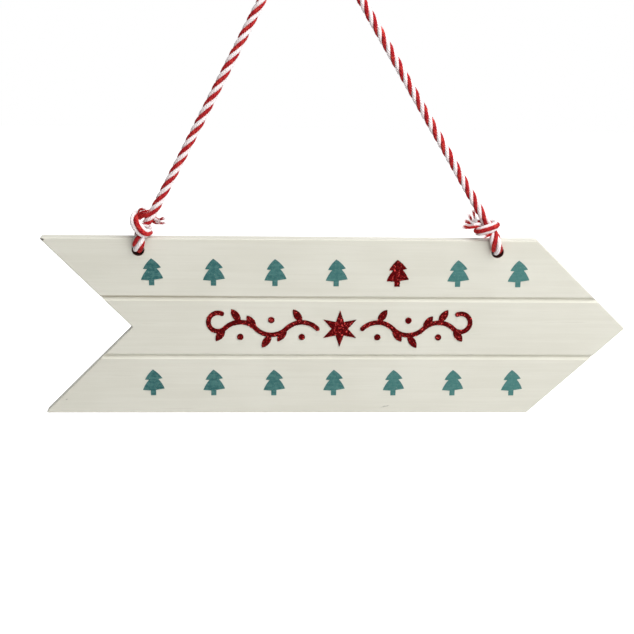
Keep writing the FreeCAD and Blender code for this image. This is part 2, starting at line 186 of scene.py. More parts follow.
def painted_lip_shade(tree, coords, low, high):
    """Painted shade on the upper lip of the upper groove, in the bare-wood colour, strongest near the tail.
    """
    axes = add(tree, "ShaderNodeSeparateXYZ", {"Vector": coords})
    rise = maths(tree, "SUBTRACT", axes.outputs["Z"], (low.z + high.z) / 2 + UPPER_GROOVE_RISE)
    above = between(tree, rise, *LIP_FOOT)
    below = between(tree, rise, *LIP_TOP)
    before = between(tree, axes.outputs["Y"], *(low.y + depth for depth in LIP_DEPTHS))
    fading = between(tree, axes.outputs["X"], low.x, LIP_FADE_END, *LIP_SHADE_SHARES)
    on_lip = maths(tree, "MULTIPLY", maths(tree, "MULTIPLY", above, below), before)
    return maths(tree, "MULTIPLY", on_lip, fading)


def cream_paint(low, high):
    """Brushed cream paint with the grain beneath, rubbed edges and marks, painted shade on the upper
    groove's lip, and the bare walls of the holes darkened with painted shade.
    """
    finish, tree, shader = new_finish("cream_paint", Specular_IOR_Level=0.3)
    coords = add(tree, "ShaderNodeTexCoord").outputs["Object"]
    grain = streaks(tree, coords, (13, 90, 420), 5.0)
    lines = streaks(tree, coords, (28, 160, 1300), 2.0)
    brush = streaks(tree, coords, (45, 400, 2600), 3.0)
    clouds = streaks(tree, coords, (16, 30, 32), 2.0)
    ragged = streaks(tree, coords, (700, 700, 700), 3.0)

    tone = maths(tree, "ADD", maths(tree, "MULTIPLY", grain, 0.55), maths(tree, "MULTIPLY", clouds, 0.45))
    colour = tint(tree, between(tree, tone, 0.36, 0.64), CREAM_SHADE, CREAM_LIGHT)
    line_share = between(tree, maths(tree, "MULTIPLY", lines, grain), 0.36, 0.46, 0.0, 0.2)
    colour = tint(tree, line_share, colour, GRAIN_LINE)
    near_edge = between(tree, edge_distance(tree, coords, low, high), EDGE_RUB_WIDTH, EDGE_RUB_FULL)
    across = add(tree, "ShaderNodeSeparateXYZ", {"Vector": coords}).outputs["Y"]
    at_front = between(tree, across, *(low.y + depth for depth in EDGE_RUB_DEPTHS))
    rubbed = maths(tree, "MULTIPLY", near_edge, between(tree, ragged, 0.5, 0.68, 0.0, 0.15))
    rubbed = maths(tree, "MULTIPLY", rubbed, at_front)
    colour = tint(tree, rubbed, colour, BARE_WOOD_AND_LIP_SHADE)
    # Painted shade: the upper groove's lip darkened towards bare wood, most near the tail.
    colour = tint(tree, painted_lip_shade(tree, coords, low, high), colour, BARE_WOOD_AND_LIP_SHADE)
    for mark in PAINT_MARKS.values():
        colour = tint(tree, paint_mark(tree, coords, ragged, *mark), colour, CHIP_DIRT)
    bored = 0.0
    for hole_place in HOLES.values():
        wall = hole_wall(tree, coords, hole_place, high)
        # Painted shade: each hole's drilled wall is darkened near black.
        colour = tint(tree, wall, colour, DRILLED_WOOD_IN_SHADE)
        bored = maths(tree, "ADD", wall, bored)
    tree.links.new(colour, shader.inputs["Base Color"])

    rough = maths(tree, "MAXIMUM", between(tree, brush, 0.3, 0.7, 0.42, 0.58), bored)
    tree.links.new(rough, shader.inputs["Roughness"])
    height = maths(tree, "ADD", grain, maths(tree, "MULTIPLY", brush, 0.35))
    raise_surface(tree, shader, maths(tree, "SUBTRACT", height, line_share), 0.12 * MM, 0.25)
    return finish


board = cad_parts["board"]
board_low, board_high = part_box("board")
board.data.materials.clear()
board.data.materials.append(cream_paint(board_low, board_high))


# The stencilled trees: thin matt teal paint dabbed through a stencil, six trees above and seven below.
# It lies uneven on the cream coat, a little thin in specks and along the grain beneath.

TEAL_DEEP = (0.018, 0.092, 0.095, 1.0)
TEAL_LIGHT = (0.058, 0.190, 0.176, 1.0)
TEAL_THIN = (0.095, 0.240, 0.225, 1.0)


def stencil_teal():
    """Dabbed teal paint, deeper towards the tail and thin in specks."""
    finish, tree, shader = new_finish("stencil_teal", Roughness=0.65, Specular_IOR_Level=0.2)
    coords = add(tree, "ShaderNodeTexCoord").outputs["Object"]
    dabs = streaks(tree, coords, (420, 420, 420), 4.0)
    grain = streaks(tree, coords, (60, 90, 900), 3.0)
    specks = streaks(tree, coords, (1500, 1500, 1500), 1.0)
    thin = maths(tree, "ADD", maths(tree, "MULTIPLY", dabs, 0.6), maths(tree, "MULTIPLY", grain, 0.4))
    along = add(tree, "ShaderNodeSeparateXYZ", {"Vector": coords}).outputs["X"]
    laid = tint(tree, between(tree, along, board_low.x, board_high.x), TEAL_DEEP, TEAL_LIGHT)
    colour = tint(tree, between(tree, thin, 0.40, 0.62, 0.0, 0.55), laid, TEAL_THIN)
    colour = tint(tree, between(tree, specks, 0.66, 0.74, 0.0, 0.35), colour, CREAM_SHADE)
    tree.links.new(colour, shader.inputs["Base Color"])
    raise_surface(tree, shader, maths(tree, "ADD", dabs, grain), 0.08 * MM, 0.4)
    return finish


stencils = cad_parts["tree_stencils"]
stencils.data.materials.clear()
stencils.data.materials.append(stencil_teal())


# The glitter work: one tree and the ornament of the middle band, printed in clear binder and
# strewn with dark red foil flakes. The flakes lie at small odd angles, and their colours carry
# painted shade on most and a painted glint on a few, picked at random.

BINDER_RED = (0.09, 0.002, 0.003, 1.0)
# Flake colours: painted shade, the plain red, and a painted glint.
FLAKE_PAINTED_SHADE = (0.03, 0.001, 0.0015, 1.0)
FLAKE_RED = (0.13, 0.002, 0.003, 1.0)
FLAKE_PAINTED_GLINT = (0.85, 0.10, 0.09, 1.0)
FLAKE_RADIUS = 0.3 * MM
FLAKES_PER_M2 = 3.4e6
FLAKE_TILT = math.radians(28)
FLAKE_LIFT = 0.06 * MM
FLAKE_SIZES = (0.75, 1.2)
FLAKE_SEED = 11
FRONT_FACING = -0.9
BINDER_SHADE = 0.4


def glitter_binder():
    """The dark gritty bed between the flakes."""
    finish, tree, shader = new_finish("glitter_binder", Roughness=0.4, Specular_IOR_Level=0.04)
    coords = add(tree, "ShaderNodeTexCoord").outputs["Object"]
    gritty = streaks(tree, coords, (2200, 2200, 2200), 2.0)
    dark = tuple(BINDER_SHADE * part for part in BINDER_RED[:3]) + (1.0,)
    colour = tint(tree, between(tree, gritty, 0.35, 0.65), dark, BINDER_RED)
    tree.links.new(colour, shader.inputs["Base Color"])
    raise_surface(tree, shader, gritty, 0.15 * MM, 0.6)
    return finish


def glitter_foil():
    """Red foil flakes in painted light: most painted dark as shade, a few given a bright painted glint."""
    finish, tree, shader = new_finish("glitter_foil", Metallic=1.0, Roughness=0.3)
    # A random value per flake picks its painted shade or its painted glint.
    flake_painted_light = add(tree, "ShaderNodeAttribute", attribute_name="flake_painted_light").outputs["Fac"]
    colour = tint(tree, between(tree, flake_painted_light, 0.0, 0.7), FLAKE_PAINTED_SHADE, FLAKE_RED)
    colour = tint(tree, between(tree, flake_painted_light, 0.86, 1.0), colour, FLAKE_PAINTED_GLINT)
    tree.links.new(colour, shader.inputs["Base Color"])
    return finish


def node_tree(name, sizes):
    """A Geometry Nodes tree with a named input for each size, its inputs and their identifiers."""
    tree = bpy.data.node_groups.new(name, "GeometryNodeTree")
    tree.interface.new_socket("Geometry", in_out="INPUT", socket_type="NodeSocketGeometry")
    identifiers = {}
    for label, kind in sizes.items():
        socket = tree.interface.new_socket(label, in_out="INPUT", socket_type="NodeSocket" + kind)
        identifiers[label] = socket.identifier
    tree.interface.new_socket("Geometry", in_out="OUTPUT", socket_type="NodeSocketGeometry")
    return tree, tree.nodes.new("NodeGroupInput").outputs, identifiers


def random_value(tree, low, high, seed, kind="FLOAT"):
    """A random value for each point, between two floats or two vectors."""
    node = add(tree, "FunctionNodeRandomValue", {"Seed": seed}, data_type=kind)
    for socket, value in zip([s for s in node.inputs if s.enabled], (low, high)):
        plug(tree, socket, value)
    return next(s for s in node.outputs if s.enabled)


def finish_tree(tree, geometry, *paints):
    """Close a tree: its geometry made real, then each material on the elements that it is for."""
    last = add(tree, "GeometryNodeRealizeInstances", {"Geometry": geometry}).outputs["Geometry"]
    for material, chosen in paints:
        painted = {"Geometry": last, "Material": material}
        if chosen is not None:
            painted["Selection"] = chosen
        last = add(tree, "GeometryNodeSetMaterial", painted).outputs["Geometry"]
    add(tree, "NodeGroupOutput", {"Geometry": last})


def plain_mesh(source, tree, identifiers, sizes, name):
    """Run a tree on an object and keep the result as a plain mesh piece at the origin."""
    modifier = source.modifiers.new(tree.name, "NODES")
    modifier.node_group = tree
    for label, value in sizes.items():
        modifier[identifiers[label]] = value
    evaluated = source.evaluated_get(bpy.context.evaluated_depsgraph_get())
    piece = bpy.data.objects.new(name, bpy.data.meshes.new_from_object(evaluated))
    source.modifiers.remove(modifier)
    bpy.context.collection.objects.link(piece)
    return piece


def store(tree, geometry, name, value, kind="FLOAT", domain="POINT"):
    """Keep a value on a geometry's elements under a name."""
    named = {"Geometry": geometry, "Name": name}
    node = add(tree, "GeometryNodeStoreNamedAttribute", named, data_type=kind, domain=domain)
    tree.links.new(value, next(s for s in node.inputs if s.name == "Value" and s.enabled))
    return node.outputs["Geometry"]


def scale_vector(tree, vector, factor):
    """A vector times a number."""
    scaled = {"Vector": vector, "Scale": factor}
    return add(tree, "ShaderNodeVectorMath", scaled, operation="SCALE").outputs["Vector"]


def lean_at_random(tree, rotation, lean):
    """A rotation leaned by up to an angle each way and turned by any angle about itself."""
    least = maths(tree, "MULTIPLY", lean, -1.0)
    angles = {
        "X": random_value(tree, least, lean, 3),
        "Y": random_value(tree, least, lean, 4),
        "Z": random_value(tree, 0.0, math.tau, 5),
    }
    angles = add(tree, "ShaderNodeCombineXYZ", angles).outputs["Vector"]
    turned = {
        "Rotation": rotation,
        "Rotate By": add(tree, "FunctionNodeEulerToRotation", {"Euler": angles}).outputs["Rotation"],
    }
    return add(tree, "FunctionNodeRotateRotation", turned, rotation_space="LOCAL").outputs["Rotation"]


def flake_tree(foil):
    """Hexagonal flakes strewn over the faces that look to the front."""
    sizes = {
        "Flakes per m2": "Float",
        "Flake Radius": "Float",
        "Tilt": "Float",
        "Lift": "Float",
        "Seed": "Int",
    }
    tree, given, identifiers = node_tree("strewn_flakes", sizes)
    normal = add(tree, "GeometryNodeInputNormal").outputs["Normal"]
    facing = add(tree, "ShaderNodeSeparateXYZ", {"Vector": normal}).outputs["Y"]
    front = add(tree, "FunctionNodeCompare", {"A": facing, "B": FRONT_FACING}, operation="LESS_THAN")
    strewn = {
        "Mesh": given["Geometry"],
        "Selection": front.outputs["Result"],
        "Density": given["Flakes per m2"],
        "Seed": given["Seed"],
    }
    points = add(tree, "GeometryNodeDistributePointsOnFaces", strewn)
    out = scale_vector(tree, points.outputs["Normal"], given["Lift"])
    lifted = {"Geometry": points.outputs["Points"], "Offset": out}
    lifted = add(tree, "GeometryNodeSetPosition", lifted).outputs["Geometry"]
    turned = lean_at_random(tree, points.outputs["Rotation"], given["Tilt"])
    hexagon = {"Vertices": 6, "Radius": given["Flake Radius"]}
    hexagon = add(tree, "GeometryNodeMeshCircle", hexagon, fill_type="NGON").outputs["Mesh"]
    size = random_value(tree, *FLAKE_SIZES, 6)
    placed = {"Points": lifted, "Instance": hexagon, "Rotation": turned, "Scale": size}
    flakes = add(tree, "GeometryNodeInstanceOnPoints", placed).outputs["Instances"]
    # A random value per flake, which the foil turns into painted shade or a painted glint.
    flake_painted_light = random_value(tree, 0.0, 1.0, 7)
    flakes = store(tree, flakes, "flake_painted_light", flake_painted_light, domain="INSTANCE")
    finish_tree(tree, flakes, (foil, None))
    return tree, identifiers


binder = glitter_binder()
strewn_flakes, flake_inputs = flake_tree(glitter_foil())
for seed, node_name in enumerate(("glitter_tree", "glitter_ornament"), start=FLAKE_SEED):
    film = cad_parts[node_name]
    film.data.materials.clear()
    film.data.materials.append(binder)
    bed = bpy.data.objects.new(node_name + "_bed", film.data.copy())
    bpy.context.collection.objects.link(bed)
    flake_sizes = {
        "Flakes per m2": FLAKES_PER_M2,
        "Flake Radius": FLAKE_RADIUS,
        "Tilt": FLAKE_TILT,
        "Lift": FLAKE_LIFT,
        "Seed": seed,
    }
    flakes = plain_mesh(bed, strewn_flakes, flake_inputs, flake_sizes, node_name + "_flakes")
    bpy.data.objects.remove(bed)
    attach(flakes, "root")


# The cord: one soft length of four strands, red and white in turn, laid right-handed.
# It hangs from its bend on a hook, goes down through each hole in the board, comes up behind
# and is tied round itself in a half hitch. Its ends are cut and left to fray.

CORD_DIAMETER = 5.4 * MM
CORD_LAY = 24 * MM
STRANDS = 4
STRAND_OFFSET = 0.56
STRAND_RADIUS = 0.455
YARNS = 5
YARN_RELIEF = 0.075
YARN_LAY = 10 * MM
SAMPLE_STEP = 0.85 * MM
START_TURN = -0.14
UNEVENNESS = 0.14
PRESSED_WIDER = 0.38
PRESSED_THINNER = 0.24
PRESSED_FROM = (3.5 * MM, 6.5 * MM)
PRESSED_BELOW = (3 * MM, -1.5 * MM)
DRIFT_PER_METRE = 130.0
DRIFT_PER_STRAND = 37.7
# Each yarn's plain colour, its darker colour for fibre streaks and painted shade in the furrows, and its
# paler worn colour.
RED = (0.50, 0.015, 0.023, 1.0)
RED_FIBRES_AND_SHADE = (0.19, 0.004, 0.009, 1.0)
RED_WORN = (0.70, 0.068, 0.044, 1.0)
WHITE = (0.97, 0.90, 0.90, 1.0)
WHITE_FIBRES_AND_SHADE = (0.88, 0.78, 0.79, 1.0)
WHITE_WORN = (0.95, 0.875, 0.875, 1.0)

# Each row is a point of the route in millimetres, the cord's radius there, and the share of its
# lay that it keeps up to the next point: it runs untwisted where it is bent tight in a knot.
LEFT_KNOT = [
    (-96.0, -1.8, -191.4, 2.0, 0.3),
    (-97.8, -0.8, -191.9, 2.4, 0.3),
    (-100.6, 4.4, -191.5, 2.5, 0.2),
    (-103.4, 6.9, -188.2, 2.7, 0.1),
    (-107.8, 3.6, -187.0, 3.2, 0.6),
    (-112.0, -2.9, -187.4, 3.4, 0.5),
    (-112.0, -8.0, -190.7, 3.6, 0.1),
    (-109.4, -9.9, -195.0, 3.5, 0.1),
    (-105.9, -10.2, -198.0, 3.1, 0.1),
    (-103.6, -5.4, -198.5, 2.7, 0.1),
    (-103.2, 1.2, -198.7, 2.6, 0.1),
    (-105.6, 5.8, -198.8, 2.6, 0.3),
    (-109.9, 9.1, -199.2, 2.9, 0.6),
    (-111.1, 8.4, -204.4, 3.1, 0.8),
    (-110.3, 7.1, -211.2, 4.05, 1.37),
    (-110.4, -0.1, -210.2, 3.75, 0.35),
    (-110.8, -7.0, -208.2, 3.1, 0.6),
    (-109.4, -8.6, -204.0, 3.4, 1.0),
    (-108.4, -6.8, -199.2, 3.0, 1.02),
    (-106.2, 0.3, -195.2, 3.0, 1.6),
    (-101.6, 0.2, -187.7, 3.0, 0.962),
    (-89.4, 0.0, -164.8, 2.95, 0.962),
]
HOOK_BEND = [
    (-15.4, 0.0, -19.5, 2.95, 0.978),
    (-0.1, 0.0, 10.7, 2.95, 1.0),
    (18.0, 0.0, -18.8, 2.95, 1.059),
]
RIGHT_KNOT = [
    (109.5, 0.0, -167.7, 2.95, 1.059),
    (120.1, 0.1, -185.3, 3.05, 0.43),
    (125.0, 1.2, -193.3, 2.9, 0.43),
    (128.1, -5.6, -197.4, 3.0, 1.0),
    (129.1, -8.8, -203.2, 3.3, 0.8),
    (130.9, -7.0, -208.2, 3.1, 0.4),
    (131.2, -0.1, -210.2, 3.75, 0.4),
    (131.1, 7.1, -211.2, 4.05, 1.03),
    (132.0, 8.4, -204.2, 3.1, 0.6),
    (130.5, 9.0, -198.4, 2.9, 0.3),
    (125.0, 6.2, -197.3, 2.6, 0.1),
    (119.4, 5.1, -197.1, 2.6, 0.1),
    (117.2, -1.8, -196.7, 2.7, 0.1),
    (118.5, -6.9, -195.8, 2.9, 0.1),
    (122.5, -8.1, -194.0, 3.1, 0.1),
    (127.2, -8.3, -192.1, 3.0, 0.1),
    (130.1, -2.6, -192.0, 2.8, 0.1),
    (129.5, 3.0, -192.2, 2.7, 0.1),
    (124.6, 6.9, -192.3, 2.6, 0.2),
    (119.5, 5.2, -192.1, 2.5, 1.17),
    (117.0, -1.2, -192.6, 2.4, 0.3),
    (114.2, -2.4, -192.8, 2.0, 0.3),
]
CORD_ROUTE = LEFT_KNOT + HOOK_BEND + RIGHT_KNOT


def route_curve(name, rows):
    """A NURBS curve on the rows' points, its radius and tilt those of the cord and its lay."""
    curve = bpy.data.curves.new(name, "CURVE")
    curve.dimensions = "3D"
    curve.resolution_u = 24
    spline = curve.splines.new("NURBS")
    spline.points.add(len(rows) - 1)
    turned = math.tau * START_TURN
    for point, row, following in zip(spline.points, rows, rows[1:] + rows[-1:]):
        here, there = Vector(row[:3]) * MM, Vector(following[:3]) * MM
        point.co = (*here, 1.0)
        point.radius = row[3] * MM
        point.tilt = turned
        turned += math.tau * row[4] * (there - here).length / CORD_LAY
    spline.order_u = 3
    spline.use_endpoint_u = True
    route = bpy.data.objects.new(name, curve)
    bpy.context.collection.objects.link(route)
    return route


def dyed_yarn(name, colour, deep, worn):
    """Spun cotton: fine fibres along the strand's yarns, darker in fibre streaks and, as painted shade, in
    the furrows between yarns, and paler where they are loose.
    """
    finish, tree, shader = new_finish(
        name,
        Roughness=0.85,
        Specular_IOR_Level=0.15,
        Sheen_Weight=0.25,
        Sheen_Roughness=0.5,
        Sheen_Tint=worn,
    )
    along = add(tree, "ShaderNodeAttribute", attribute_name="yarn_run").outputs["Vector"]
    coords = add(tree, "ShaderNodeTexCoord").outputs["Object"]
    fibres = streaks(tree, along, (1400, 1400, 160), 4.0)
    slubs = streaks(tree, coords, (500, 500, 500), 3.0)
    furrow = add(tree, "ShaderNodeAttribute", attribute_name="yarn_height").outputs["Fac"]
    # Darker in fibre streaks and, as painted shade, where the yarn's height drops into a furrow.
    depth = maths(tree, "ADD", maths(tree, "MULTIPLY", fibres, 0.5), maths(tree, "MULTIPLY", furrow, 0.5))
    shade = tint(tree, between(tree, depth, 0.2, 0.75), deep, colour)
    shade = tint(tree, between(tree, slubs, 0.45, 0.7, 0.0, 0.7), shade, worn)
    tree.links.new(shade, shader.inputs["Base Color"])
    raise_surface(tree, shader, fibres, 0.25 * MM, 0.6)
    return finish


def recall(tree, name, kind="FLOAT"):
    """Read back a value kept under a name."""
    node = add(tree, "GeometryNodeInputNamedAttribute", {"Name": name}, data_type=kind)
    return next(s for s in node.outputs if s.name == "Attribute" and s.enabled)


def is_red(tree):
    """Which elements belong to the first, third and so on of the strands."""
    odd = maths(tree, "MODULO", recall(tree, "strand", "INT"), 2.0)
    return add(tree, "FunctionNodeCompare", {"A": odd, "B": 0.5}, operation="LESS_THAN").outputs["Result"]


def pressed_flat(tree, position):
    """How far the cord is pressed on the board: wholly along its legs before and behind a hole."""
    axes = add(tree, "ShaderNodeSeparateXYZ", {"Vector": position})
    off_middle = maths(tree, "ABSOLUTE", axes.outputs["Y"])
    beside = between(tree, off_middle, *PRESSED_FROM)
    below_edge = between(tree, axes.outputs["Z"], *(board_high.z + rise for rise in PRESSED_BELOW))
    return maths(tree, "MULTIPLY", beside, below_edge)


def twist_tree(red, white):
    """Strands laid round a route: each a lobed tube of yarns, set off from the route by its tilt."""
    sizes = {
        "Strands": "Int",
        "Strand Offset": "Float",
        "Strand Radius": "Float",
        "Yarns": "Int",
        "Yarn Relief": "Float",
        "Yarn Lay": "Float",
        "Sample Step": "Float",
        "Unevenness": "Float",
        "Pressed Wider": "Float",
        "Pressed Thinner": "Float",
    }
    tree, given, identifiers = node_tree("laid_cord", sizes)
    sampled = {"Curve": given["Geometry"], "Length": given["Sample Step"]}
    sampled = add(tree, "GeometryNodeResampleCurve", sampled, mode="LENGTH").outputs["Curve"]
    copies = {"Geometry": sampled, "Amount": given["Strands"]}
    copies = add(tree, "GeometryNodeDuplicateElements", copies, domain="SPLINE")
    strands = store(tree, copies.outputs["Geometry"], "strand", copies.outputs["Duplicate Index"], "INT")

    radius = add(tree, "GeometryNodeInputRadius").outputs["Radius"]
    strand = recall(tree, "strand", "INT")
    run = add(tree, "GeometryNodeSplineParameter").outputs["Length"]
    along = maths(tree, "MULTIPLY", run, DRIFT_PER_METRE)
    aside = maths(tree, "MULTIPLY", strand, DRIFT_PER_STRAND)
    drift = {"W": maths(tree, "ADD", along, aside), "Scale": 1.0, "Detail": 2.0}
    drift = add(tree, "ShaderNodeTexNoise", drift, noise_dimensions="1D").outputs["Fac"]
    drift = maths(tree, "MULTIPLY", maths(tree, "SUBTRACT", drift, 0.5), given["Unevenness"])
    share = maths(tree, "DIVIDE", maths(tree, "ADD", strand, drift), given["Strands"])
    round_route = {
        "Vector": add(tree, "GeometryNodeInputNormal").outputs["Normal"],
        "Axis": add(tree, "GeometryNodeInputTangent").outputs["Tangent"],
        "Angle": maths(tree, "MULTIPLY", share, math.tau),
    }
    outward = add(tree, "ShaderNodeVectorRotate", round_route, rotation_type="AXIS_ANGLE").outputs["Vector"]
    offset = scale_vector(tree, outward, maths(tree, "MULTIPLY", radius, given["Strand Offset"]))
    pressed = pressed_flat(tree, add(tree, "GeometryNodeInputPosition").outputs["Position"])
    spread = {
        "X": maths(tree, "ADD", 1.0, maths(tree, "MULTIPLY", pressed, given["Pressed Wider"])),
        "Y": maths(tree, "SUBTRACT", 1.0, maths(tree, "MULTIPLY", pressed, given["Pressed Thinner"])),
        "Z": 1.0,
    }
    spread = add(tree, "ShaderNodeCombineXYZ", spread).outputs["Vector"]
    flattened = add(tree, "ShaderNodeVectorMath", {0: offset, 1: spread}, operation="MULTIPLY")
    laid = {"Geometry": strands, "Offset": flattened.outputs["Vector"]}
    laid = add(tree, "GeometryNodeSetPosition", laid).outputs["Geometry"]
    laid = store(tree, laid, "run", run)
    back_turn = maths(tree, "DIVIDE", maths(tree, "MULTIPLY", run, -math.tau), given["Yarn Lay"])
    laid = add(tree, "GeometryNodeSetCurveTilt", {"Curve": laid, "Tilt": back_turn}).outputs["Curve"]

    around = maths(tree, "MULTIPLY", add(tree, "GeometryNodeSplineParameter").outputs["Factor"], math.tau)
    lobe = maths(tree, "COSINE", maths(tree, "MULTIPLY", around, given["Yarns"]))
    sides = {"Resolution": maths(tree, "MULTIPLY", given["Yarns"], 4.0), "Radius": 1.0}
    profile = add(tree, "GeometryNodeCurvePrimitiveCircle", sides, mode="RADIUS").outputs["Curve"]
    height = maths(tree, "ADD", maths(tree, "MULTIPLY", lobe, 0.5), 0.5)
    # The yarn's height round the strand, read by the yarn material to paint shade in the furrows.
    profile = store(tree, profile, "yarn_height", height)
    side = {"X": maths(tree, "COSINE", around), "Y": maths(tree, "SINE", around)}
    side = add(tree, "ShaderNodeCombineXYZ", side).outputs["Vector"]
    profile = store(tree, profile, "side", side, "FLOAT_VECTOR")
    swell = maths(tree, "ADD", 1.0, maths(tree, "MULTIPLY", lobe, given["Yarn Relief"]))
    place = add(tree, "GeometryNodeInputPosition").outputs["Position"]
    lobed = {"Geometry": profile, "Position": scale_vector(tree, place, swell)}
    lobed = add(tree, "GeometryNodeSetPosition", lobed).outputs["Geometry"]

    girth = maths(tree, "MULTIPLY", radius, maths(tree, "ADD", 1.0, maths(tree, "MULTIPLY", drift, 2.0)))
    swept = {
        "Curve": laid,
        "Profile Curve": lobed,
        "Scale": maths(tree, "MULTIPLY", girth, given["Strand Radius"]),
        "Fill Caps": True,
    }
    mesh = add(tree, "GeometryNodeCurveToMesh", swept).outputs["Mesh"]
    section = add(tree, "ShaderNodeSeparateXYZ", {"Vector": recall(tree, "side", "FLOAT_VECTOR")})
    strand_radius = STRAND_RADIUS * CORD_DIAMETER / 2
    unrolled = {
        "X": maths(tree, "MULTIPLY", section.outputs["X"], strand_radius),
        "Y": maths(tree, "MULTIPLY", section.outputs["Y"], strand_radius),
        "Z": recall(tree, "run"),
    }
    unrolled = add(tree, "ShaderNodeCombineXYZ", unrolled).outputs["Vector"]
    mesh = store(tree, mesh, "yarn_run", unrolled, "FLOAT_VECTOR")
    mesh = add(tree, "GeometryNodeSetShadeSmooth", {"Geometry": mesh}).outputs["Geometry"]
    finish_tree(tree, mesh, (white, None), (red, is_red(tree)))
    return tree, identifiers


red_yarn = dyed_yarn("red_yarn", RED, RED_FIBRES_AND_SHADE, RED_WORN)
white_yarn = dyed_yarn("white_yarn", WHITE, WHITE_FIBRES_AND_SHADE, WHITE_WORN)
route = route_curve("cord_route", CORD_ROUTE)
cord_path = [v.co.copy() for v in bpy.data.meshes.new_from_object(route).vertices]
laid_cord, cord_inputs = twist_tree(red_yarn, white_yarn)
cord_sizes = {
    "Strands": STRANDS,
    "Strand Offset": STRAND_OFFSET,
    "Strand Radius": STRAND_RADIUS,
    "Yarns": YARNS,
    "Yarn Relief": YARN_RELIEF,
    "Yarn Lay": YARN_LAY,
    "Sample Step": SAMPLE_STEP,
    "Unevenness": UNEVENNESS,
    "Pressed Wider": PRESSED_WIDER,
    "Pressed Thinner": PRESSED_THINNER,
}
cord = plain_mesh(route, laid_cord, cord_inputs, cord_sizes, "twisted_cord")
bpy.data.objects.remove(route)


# The frayed ends: each strand opens past the knot into cotton yarns that fan out and curl, red and
# white in turn. Loose red yarns lie on the left knot, one sprung up in a small loop, and a white and
# a red one have worked out of the right knot.

LEFT_ENDS = [
    [(-97.0, -2.4, -190.6), (-95.0, -3.4, -189.5), (-93.0, -3.8, -188.7)],
    [(-98.8, -0.4, -191.2), (-97.2, -3.4, -190.4), (-96.2, -4.0, -189.9)],
    [(-97.4, -2.6, -192.5), (-94.8, -3.4, -192.3), (-92.3, -3.6, -192.4)],
    [(-98.8, -0.6, -191.7), (-96.6, -3.6, -191.2), (-95.6, -4.2, -190.9)],
    [(-110.2, -4.6, -187.0), (-109.8, -5.0, -183.0), (-107.0, -4.8, -182.2), (-105.0, -4.0, -183.6)],
    [(-98.8, -0.8, -192.0), (-97.2, -3.2, -191.9), (-96.0, -3.6, -191.8)],
    [(-107.2, -5.0, -194.2), (-103.8, -3.8, -194.7), (-101.6, -4.0, -194.7)],
    [(-107.4, -5.6, -195.0), (-103.2, -4.2, -195.4), (-100.4, -4.6, -195.4)],
    [(-111.6, -5.2, -189.4), (-109.2, -6.8, -184.6), (-104.6, -6.6, -184.0), (-101.4, -4.6, -184.0)],
    [(-110.8, -6.4, -190.2), (-108.2, -7.6, -191.0), (-106.8, -7.0, -192.2)],
    [(-111.4, -5.4, -190.0), (-108.4, -7.2, -185.9), (-104.2, -6.8, -185.2), (-101.8, -5.2, -185.2)],
    [(-108.4, -6.4, -193.0), (-104.4, -4.8, -194.0), (-101.8, -5.0, -194.6)],
    [(-111.2, -5.8, -190.8), (-107.4, -7.4, -187.2), (-104.0, -6.8, -186.6), (-102.0, -5.6, -186.2)],
]
RIGHT_ENDS = [
    [(115.6, -2.6, -193.6), (111.4, -3.8, -194.1), (106.4, -3.8, -193.1)],
    [(115.6, -2.2, -192.4), (111.2, -3.6, -192.2), (108.3, -3.8, -191.7)],
    [(113.6, -2.0, -191.8), (111.2, -3.2, -190.4), (107.8, -4.0, -188.3)],
    [(115.4, -2.2, -192.0), (112.8, -4.0, -190.0), (110.9, -4.0, -188.9)],
    [(113.8, -1.8, -190.4), (112.6, -3.0, -187.6), (110.2, -3.8, -184.6)],
    [(116.0, -1.8, -191.4), (114.6, -3.8, -188.8), (112.9, -3.8, -187.3)],
    [(115.2, -1.2, -189.6), (115.0, -2.4, -185.4), (113.0, -3.4, -181.2)],
    [(116.4, -1.4, -191.0), (116.0, -3.4, -187.8), (114.5, -3.6, -185.8)],
    [(115.4, -2.6, -192.9), (111.6, -3.9, -193.2), (107.4, -3.9, -192.6)],
    [(127.2, -5.0, -192.0), (127.6, -6.0, -189.4), (126.8, -6.2, -188.0)],
    [(127.6, -5.6, -196.8), (123.6, -10.6, -197.3), (120.2, -11.0, -198.4)],
]
FIBRES = 34
FIBRE_RADIUS = 0.14 * MM
FRAY_SPREAD = 0.5 * MM
FRAY_ROOT = 0.5 * MM
FRAY_SAMPLES = 9
FRAY_CUT = 0.7
FRAY_OPENING = 1.6
FRAY_SEED = 21
CURLS_PER_METRE = 420.0
CURL_PER_FIBRE = 0.37
CURL_REACH = 4.0
FIBRE_TAPER = 0.45


def end_guides(name, strands):
    """The middle lines of the opened strands, as NURBS splines of one curve."""
    curve = bpy.data.curves.new(name, "CURVE")
    curve.dimensions = "3D"
    for points in strands:
        spline = curve.splines.new("NURBS")
        spline.points.add(len(points) - 1)
        for point, place in zip(spline.points, points):
            point.co = (*(Vector(place) * MM), 1.0)
        spline.order_u = 3
        spline.use_endpoint_u = True
    guides = bpy.data.objects.new(name, curve)
    bpy.context.collection.objects.link(guides)
    return guides


